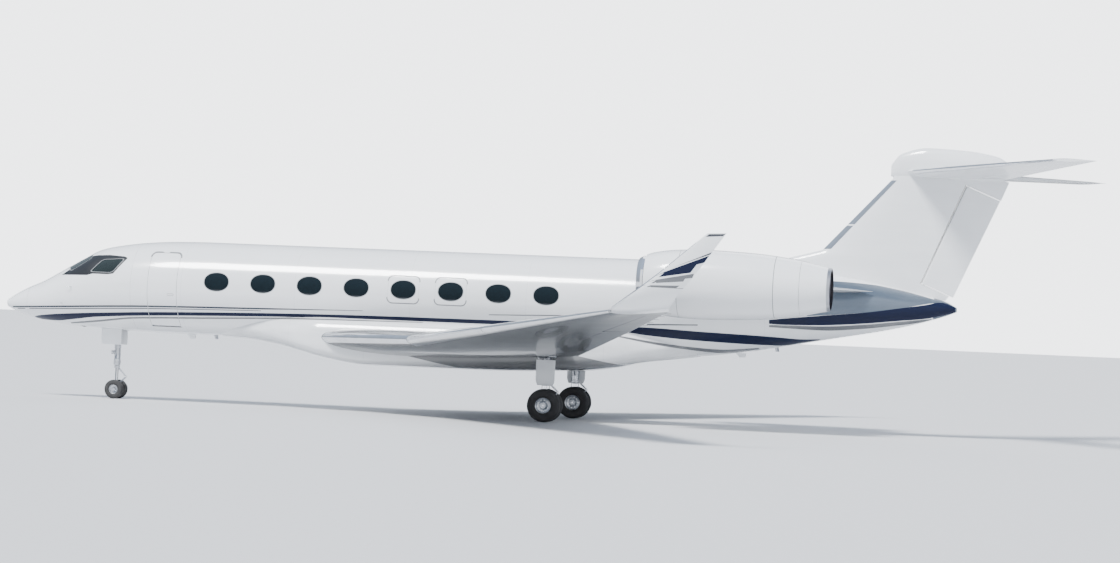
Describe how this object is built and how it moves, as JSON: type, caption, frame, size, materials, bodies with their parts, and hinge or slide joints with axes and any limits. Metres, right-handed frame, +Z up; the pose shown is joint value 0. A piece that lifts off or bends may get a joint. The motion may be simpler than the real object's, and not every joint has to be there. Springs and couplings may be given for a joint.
{
  "type": "business jet",
  "caption": "Business jet with a T-tail, swept wings with winglets, rear-mounted engines, an airstair door and landing gear.",
  "frame": {"origin": "on the ground under the middle of the overall length and span", "axes": "+X towards the tail, +Y towards the aircraft's right wing, +Z up"},
  "size_m": [30.41, 30.36, 7.784],
  "materials": {
    "white_paint": "gloss white paint over aluminium skin",
    "polished_metal": "polished bare metal",
    "gear_metal": "light grey painted and machined steel",
    "engine_metal": "dark machined metal",
    "window_glass": "dark tinted glazing",
    "tyre": "black aircraft tyre rubber",
    "cabin_lining": "satin cabin panels over aluminium honeycomb",
    "panel_plastic": "dark matt instrument panel",
    "seat_leather": "cream leather"
  },
  "bodies": {
    "airframe": {"aft_bulkhead": "cabin_lining", "belly_fairing": "white_paint", "cabin_floor": "cabin_lining", "cabin_seats": "seat_leather", "cabin_shell": "white_paint", "cabin_windows_left": "window_glass", "cabin_windows_right": "window_glass", "cockpit_bulkhead": "cabin_lining", "engine_core_left": "engine_metal", "engine_core_right": "engine_metal", "exit_hatch_left_front": "white_paint", "exit_hatch_left_rear": "white_paint", "exit_hatch_right_front": "white_paint", "exit_hatch_right_rear": "white_paint", "instrument_panel": "panel_plastic", "main_gear_leg_left": "gear_metal", "main_gear_leg_right": "gear_metal", "nacelle_left": "white_paint", "nacelle_right": "white_paint", "nose_gear_leg": "gear_metal", "nose_section": "white_paint", "nose_wheel_well": "white_paint", "pilot_seats": "seat_leather", "pylon_left": "white_paint", "pylon_right": "white_paint", "radome": "white_paint", "rear_fuselage": "white_paint", "side_window_left": "window_glass", "side_window_right": "window_glass", "stabilizer": "white_paint", "tail_cone": "polished_metal", "vertical_fin": "white_paint", "windshield_left": "window_glass", "windshield_right": "window_glass", "wing_left": "white_paint", "wing_right": "white_paint", "winglet_left": "white_paint", "winglet_right": "white_paint"},
    "nose_steering": {"nose_gear_fork": "gear_metal"},
    "nose_wheels": {"nose_wheel_hubs": "gear_metal", "nose_tyre_left": "tyre", "nose_tyre_right": "tyre"},
    "main_wheels_left": {"main_hubs_left": "gear_metal", "main_tyre_left_a": "tyre", "main_tyre_left_b": "tyre"},
    "main_wheels_right": {"main_hubs_right": "gear_metal", "main_tyre_right_a": "tyre", "main_tyre_right_b": "tyre"},
    "entry_door": {"entry_door": "white_paint"},
    "rudder": {"rudder": "white_paint"},
    "flap_left": {"flap_left": "white_paint"},
    "aileron_left": {"aileron_left": "white_paint"},
    "spoilers_left": {"spoilers_left": "white_paint"},
    "elevator_left": {"elevator_left": "white_paint"},
    "fan_left": {"fan_left": "engine_metal"},
    "flap_right": {"flap_right": "white_paint"},
    "aileron_right": {"aileron_right": "white_paint"},
    "spoilers_right": {"spoilers_right": "white_paint"},
    "elevator_right": {"elevator_right": "white_paint"},
    "fan_right": {"fan_right": "engine_metal"}
  },
  "joints": [
    {"name": "nose_steering", "type": "hinge", "parent": "airframe", "child": "nose_steering", "pos_m": [-11.9, 0, 0.6], "axis": [0, 0, 1], "range_deg": [-80, 80]},
    {"name": "nose_wheel_spin", "type": "hinge", "parent": "nose_steering", "child": "nose_wheels", "pos_m": [-11.9, 0, 0.2665], "axis": [0, 1, 0], "continuous": true},
    {"name": "main_wheel_spin_left", "type": "hinge", "parent": "airframe", "child": "main_wheels_left", "pos_m": [0.8, -2.2, 0.445], "axis": [0, 1, 0], "continuous": true},
    {"name": "main_wheel_spin_right", "type": "hinge", "parent": "airframe", "child": "main_wheels_right", "pos_m": [0.8, 2.2, 0.445], "axis": [0, 1, 0], "continuous": true},
    {"name": "entry_door_hinge", "type": "hinge", "parent": "airframe", "child": "entry_door", "pos_m": [-10.27, -0.72285, 2.118], "axis": [1, 0, 0], "range_deg": [0, 135]},
    {"name": "flap_hinge_left", "type": "hinge", "parent": "airframe", "child": "flap_left", "pos_m": [2.06467, -6.2, 2.22536], "axis": [-0.4118, 0.9067, -0.0909], "range_deg": [0, 39]},
    {"name": "aileron_hinge_left", "type": "hinge", "parent": "airframe", "child": "aileron_left", "pos_m": [4.45474, -11.65, 2.79265], "axis": [-0.4024, 0.91, -0.0998], "range_deg": [-22, 18]},
    {"name": "spoiler_hinge_left", "type": "hinge", "parent": "airframe", "child": "spoilers_left", "pos_m": [1.88704, -6.9, 2.40715], "axis": [0.4344, -0.8968, 0.0843], "range_deg": [0, 55]},
    {"name": "elevator_hinge_left", "type": "hinge", "parent": "airframe", "child": "elevator_left", "pos_m": [13.46855, -3.14, 7.16499], "axis": [-0.446, 0.8945, -0.0319], "range_deg": [-24, 13]},
    {"name": "fan_spin_left", "type": "hinge", "parent": "airframe", "child": "fan_left", "pos_m": [4.28, -2.75, 3.84], "axis": [1, 0, 0], "continuous": true},
    {"name": "flap_hinge_right", "type": "hinge", "parent": "airframe", "child": "flap_right", "pos_m": [2.06467, 6.2, 2.22536], "axis": [0.4118, 0.9067, 0.0909], "range_deg": [0, 39]},
    {"name": "aileron_hinge_right", "type": "hinge", "parent": "airframe", "child": "aileron_right", "pos_m": [4.45474, 11.65, 2.79265], "axis": [0.4024, 0.91, 0.0998], "range_deg": [-22, 18]},
    {"name": "spoiler_hinge_right", "type": "hinge", "parent": "airframe", "child": "spoilers_right", "pos_m": [1.88704, 6.9, 2.40715], "axis": [-0.4344, -0.8968, -0.0843], "range_deg": [0, 55]},
    {"name": "elevator_hinge_right", "type": "hinge", "parent": "airframe", "child": "elevator_right", "pos_m": [13.46855, 3.14, 7.16499], "axis": [0.446, 0.8945, 0.0319], "range_deg": [-24, 13]},
    {"name": "fan_spin_right", "type": "hinge", "parent": "airframe", "child": "fan_right", "pos_m": [4.28, 2.75, 3.84], "axis": [1, 0, 0], "continuous": true},
    {"name": "rudder_hinge", "type": "hinge", "parent": "airframe", "child": "rudder", "pos_m": [11.15, 0, 5.44], "axis": [0.3797, 0, 0.9251], "range_deg": [-22, 22]}
  ]
}
